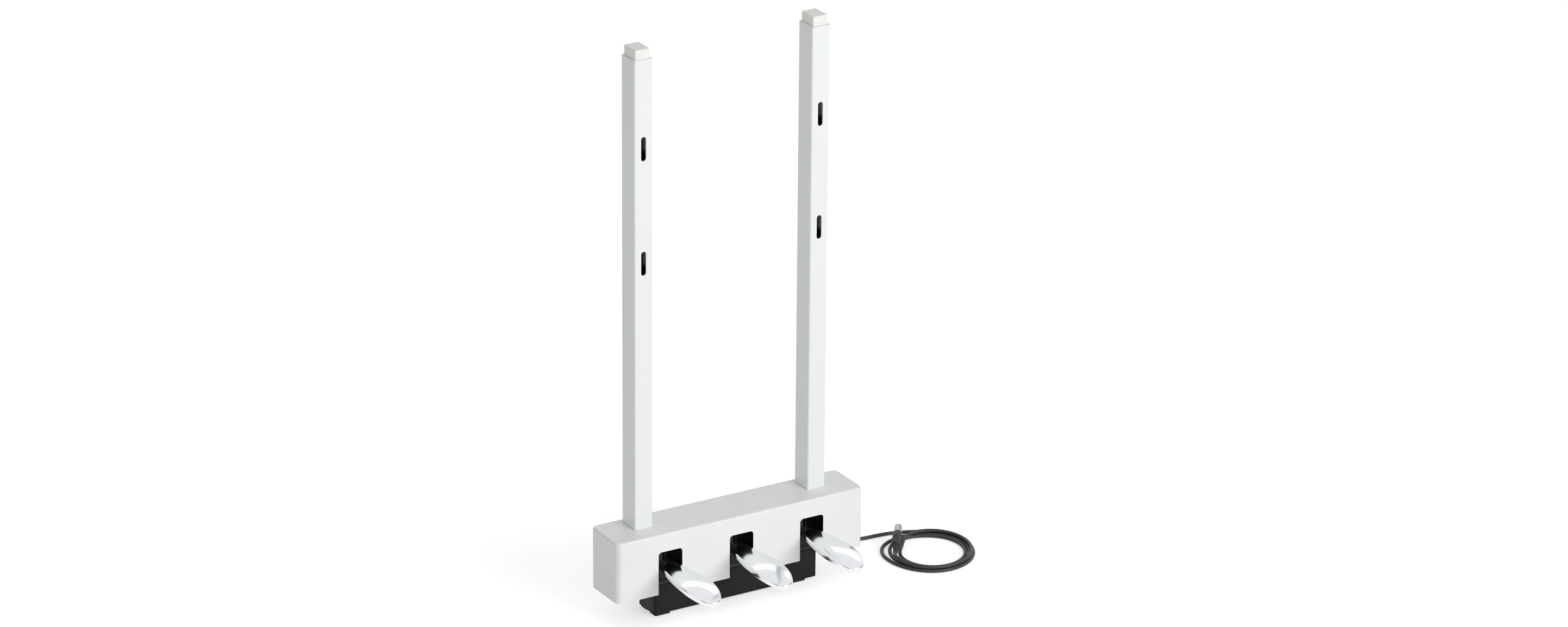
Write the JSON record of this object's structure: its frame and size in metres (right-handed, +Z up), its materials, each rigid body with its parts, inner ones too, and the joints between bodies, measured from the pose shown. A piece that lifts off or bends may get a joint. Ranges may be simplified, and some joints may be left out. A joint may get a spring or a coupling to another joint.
{
  "type": "three-pedal unit for a keyboard stand",
  "caption": "Foot pedal unit for a keyboard instrument: a long white box with three sprung chrome pedals, two slotted uprights, a black floor base and a coiled cord with a round plug.",
  "frame": {"origin": "on the floor, midway along the box and midway between the toes of the pedals and the back of the rear cover", "axes": "+Z up along the uprights, -Y towards the player, +X to the player's right when facing the unit from the pedals"},
  "size_m": [0.4518, 0.214, 0.6435],
  "materials": {
    "white_plastic": "satin",
    "white_paint": "satin",
    "cap_plastic": "satin",
    "black_plastic": "satin",
    "black_rubber": "matte",
    "black_paint": "satin",
    "chrome": "polished",
    "bright_steel": "satin",
    "nickel": "polished",
    "brass": "polished",
    "nylon": "satin",
    "felt": "matte",
    "board_green": "satin",
    "cord_sheath": "satin"
  },
  "bodies": {
    "base": {"base_screws": "bright_steel", "board_connector": "nylon", "board_screws": "bright_steel", "board_spacers": "nylon", "box_screws": "bright_steel", "bracket_rivets": "bright_steel", "cap_left": "cap_plastic", "cap_right": "cap_plastic", "chassis": "black_paint", "cord": "cord_sheath", "cord_coil": "cord_sheath", "cord_gland": "black_rubber", "down_stop_centre": "black_rubber", "down_stop_left": "black_rubber", "down_stop_right": "black_rubber", "floor_base": "black_plastic", "foot_back_left": "black_rubber", "foot_back_right": "black_rubber", "foot_front_left": "black_rubber", "foot_front_right": "black_rubber", "inner_lead": "cord_sheath", "pedal_box": "white_plastic", "pedal_bracket_centre": "black_paint", "pedal_bracket_left": "black_paint", "pedal_bracket_right": "black_paint", "pedal_sensors": "black_plastic", "pin_clips": "bright_steel", "pivot_pin_centre": "bright_steel", "pivot_pin_left": "bright_steel", "pivot_pin_right": "bright_steel", "plug_body": "black_plastic", "plug_contacts": "brass", "plug_shell": "nickel", "rear_cover": "white_plastic", "rear_cover_screws": "bright_steel", "return_spring_centre": "bright_steel", "return_spring_left": "bright_steel", "return_spring_right": "bright_steel", "sensor_board": "board_green", "up_stop_centre": "felt", "up_stop_left": "felt", "up_stop_right": "felt", "upright_block_left": "bright_steel", "upright_block_right": "bright_steel", "upright_bolts": "bright_steel", "upright_left": "white_paint", "upright_right": "white_paint", "upright_screws": "bright_steel"},
    "pedal_left_body": {"pedal_left": "chrome", "pedal_bushes_left": "nylon", "sensor_magnet_left": "nickel"},
    "pedal_centre_body": {"pedal_centre": "chrome", "pedal_bushes_centre": "nylon", "sensor_magnet_centre": "nickel"},
    "pedal_right_body": {"pedal_right": "chrome", "pedal_bushes_right": "nylon", "sensor_magnet_right": "nickel"}
  },
  "joints": [
    {"name": "press_left", "type": "hinge", "parent": "base", "child": "pedal_left_body", "pos_m": [-0.0885, 0.0605, 0.06], "axis": [1, 0, 0], "range_deg": [0, 6], "stiffness_Nm_per_rad": 9.5, "springref_deg": -3.61, "deforming": ["return_spring_left"]},
    {"name": "press_centre", "type": "hinge", "parent": "base", "child": "pedal_centre_body", "pos_m": [0, 0.0605, 0.06], "axis": [1, 0, 0], "range_deg": [0, 6], "stiffness_Nm_per_rad": 9.5, "springref_deg": -3.61, "deforming": ["return_spring_centre"]},
    {"name": "press_right", "type": "hinge", "parent": "base", "child": "pedal_right_body", "pos_m": [0.0885, 0.0605, 0.06], "axis": [1, 0, 0], "range_deg": [0, 6], "stiffness_Nm_per_rad": 9.5, "springref_deg": -3.61, "deforming": ["return_spring_right"]}
  ]
}
